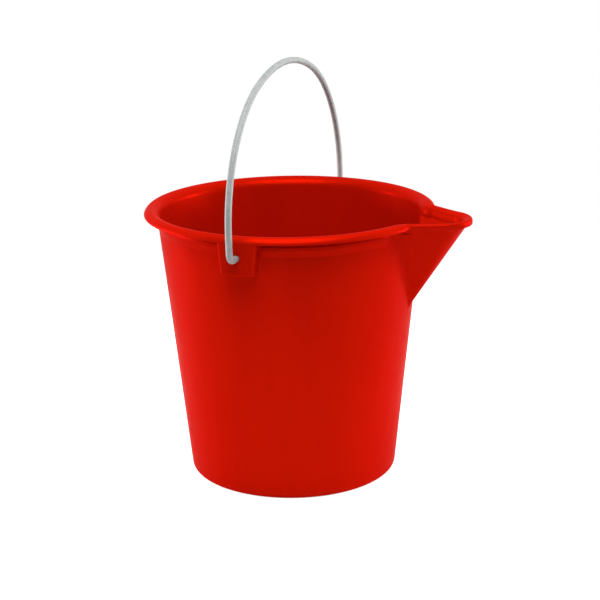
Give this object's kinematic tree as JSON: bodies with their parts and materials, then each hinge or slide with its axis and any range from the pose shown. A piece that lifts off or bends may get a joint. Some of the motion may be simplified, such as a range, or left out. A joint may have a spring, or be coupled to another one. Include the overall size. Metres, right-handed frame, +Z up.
{
  "type": "wash bucket",
  "caption": "Round tapered plastic wash bucket with a rolled rim, a wide pouring spout and a swinging wire bail handle.",
  "frame": {"origin": "centre of the foot ring, on the bucket's axis, at the level of the ground", "axes": "+Z up along the bucket's axis, +X towards the tip of the spout, Y along the bail's pivot axis"},
  "size_m": [0.3172, 0.3136, 0.4019],
  "materials": {
    "bucket_plastic": "satin moulded polypropylene, bright red",
    "bail_wire": "dull zinc-plated steel wire"
  },
  "bodies": {
    "bucket": {"bucket_body": "bucket_plastic"},
    "bail": {"bail_handle": "bail_wire"}
  },
  "joints": [
    {"name": "bail_swing", "type": "hinge", "parent": "bucket", "child": "bail", "pos_m": [0, 0, 0.2435], "axis": [0, 1, 0], "range_deg": [-127, 81]}
  ]
}
